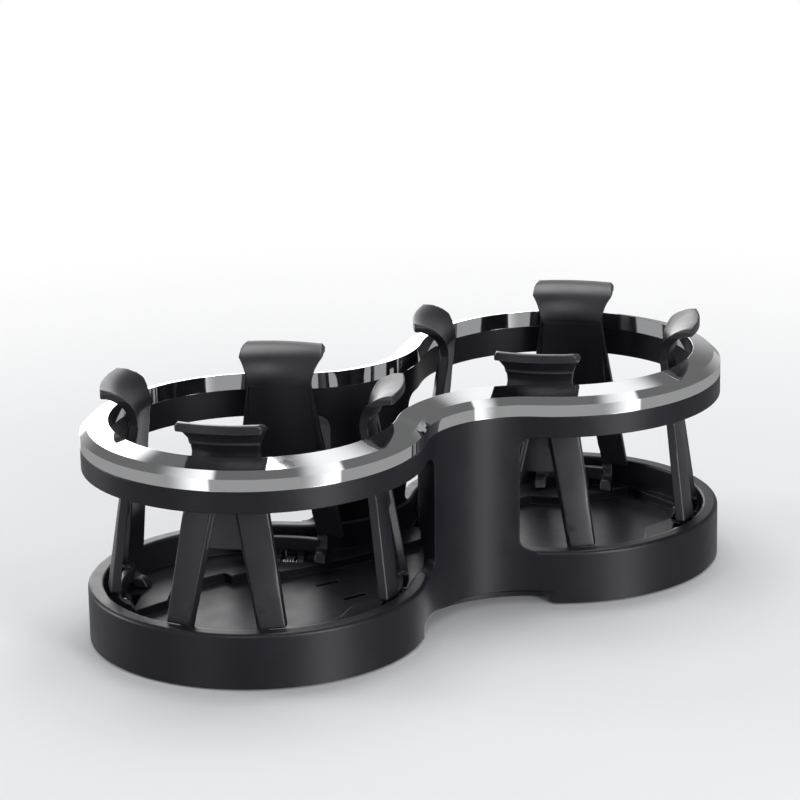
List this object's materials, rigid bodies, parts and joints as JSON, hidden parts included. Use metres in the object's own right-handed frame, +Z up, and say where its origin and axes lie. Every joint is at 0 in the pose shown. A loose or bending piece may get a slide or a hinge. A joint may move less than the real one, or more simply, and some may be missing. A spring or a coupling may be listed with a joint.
{
  "type": "car cup holder",
  "caption": "Drop-in cup holder: open tray base with pillars, bright upper rim round joined cup spaces, and sprung fingers on hinges that grip each cup.",
  "frame": {"origin": "under the middle of the waist between the two cups, on the surface the holder stands on", "axes": "+X along the length from the left cup to the right cup, +Y from the front pillar to the back pillar, +Z up"},
  "size_m": [0.232, 0.11, 0.0829],
  "materials": {
    "shell_plastic": "satin",
    "finger_plastic": "satin",
    "trim_chrome": "polished",
    "screw_steel": "zinc plated",
    "pad_rubber": "matt",
    "pin_steel": "ground",
    "spring_steel": "drawn wire"
  },
  "bodies": {
    "holder": {"body_shell": "shell_plastic", "trim_ring": "trim_chrome", "bottom_cover": "shell_plastic", "cover_screws": "screw_steel", "left_pad": "pad_rubber", "right_pad": "pad_rubber", "left_pin_br": "pin_steel", "left_spring_br": "spring_steel", "left_pin_bl": "pin_steel", "left_spring_bl": "spring_steel", "left_pin_fl": "pin_steel", "left_spring_fl": "spring_steel", "left_pin_fr": "pin_steel", "left_spring_fr": "spring_steel", "right_pin_br": "pin_steel", "right_spring_br": "spring_steel", "right_pin_bl": "pin_steel", "right_spring_bl": "spring_steel", "right_pin_fl": "pin_steel", "right_spring_fl": "spring_steel", "right_pin_fr": "pin_steel", "right_spring_fr": "spring_steel"},
    "left_br": {"left_finger_br": "finger_plastic"},
    "left_bl": {"left_finger_bl": "finger_plastic"},
    "left_fl": {"left_finger_fl": "finger_plastic"},
    "left_fr": {"left_finger_fr": "finger_plastic"},
    "right_br": {"right_finger_br": "finger_plastic"},
    "right_bl": {"right_finger_bl": "finger_plastic"},
    "right_fl": {"right_finger_fl": "finger_plastic"},
    "right_fr": {"right_finger_fr": "finger_plastic"}
  },
  "joints": [
    {"name": "left_br_hinge", "type": "hinge", "parent": "holder", "child": "left_br", "pos_m": [-0.0282, 0.0308, 0.0065], "axis": [-0.6845, 0.729, 0], "range_deg": [0, 5], "stiffness_Nm_per_rad": 0.3, "springref_deg": -20.05, "deforming": ["left_spring_br"]},
    {"name": "left_bl_hinge", "type": "hinge", "parent": "holder", "child": "left_bl", "pos_m": [-0.0938, 0.0308, 0.0065], "axis": [-0.6845, -0.729, 0], "range_deg": [0, 5], "stiffness_Nm_per_rad": 0.3, "springref_deg": -20.05, "deforming": ["left_spring_bl"]},
    {"name": "left_fl_hinge", "type": "hinge", "parent": "holder", "child": "left_fl", "pos_m": [-0.0938, -0.0308, 0.0065], "axis": [0.6845, -0.729, 0], "range_deg": [0, 5], "stiffness_Nm_per_rad": 0.3, "springref_deg": -20.05, "deforming": ["left_spring_fl"]},
    {"name": "left_fr_hinge", "type": "hinge", "parent": "holder", "child": "left_fr", "pos_m": [-0.0282, -0.0308, 0.0065], "axis": [0.6845, 0.729, 0], "range_deg": [0, 5], "stiffness_Nm_per_rad": 0.3, "springref_deg": -20.05, "deforming": ["left_spring_fr"]},
    {"name": "right_br_hinge", "type": "hinge", "parent": "holder", "child": "right_br", "pos_m": [0.0938, 0.0308, 0.0065], "axis": [-0.6845, 0.729, 0], "range_deg": [0, 5], "stiffness_Nm_per_rad": 0.3, "springref_deg": -20.05, "deforming": ["right_spring_br"]},
    {"name": "right_bl_hinge", "type": "hinge", "parent": "holder", "child": "right_bl", "pos_m": [0.0282, 0.0308, 0.0065], "axis": [-0.6845, -0.729, 0], "range_deg": [0, 5], "stiffness_Nm_per_rad": 0.3, "springref_deg": -20.05, "deforming": ["right_spring_bl"]},
    {"name": "right_fl_hinge", "type": "hinge", "parent": "holder", "child": "right_fl", "pos_m": [0.0282, -0.0308, 0.0065], "axis": [0.6845, -0.729, 0], "range_deg": [0, 5], "stiffness_Nm_per_rad": 0.3, "springref_deg": -20.05, "deforming": ["right_spring_fl"]},
    {"name": "right_fr_hinge", "type": "hinge", "parent": "holder", "child": "right_fr", "pos_m": [0.0938, -0.0308, 0.0065], "axis": [0.6845, 0.729, 0], "range_deg": [0, 5], "stiffness_Nm_per_rad": 0.3, "springref_deg": -20.05, "deforming": ["right_spring_fr"]}
  ]
}
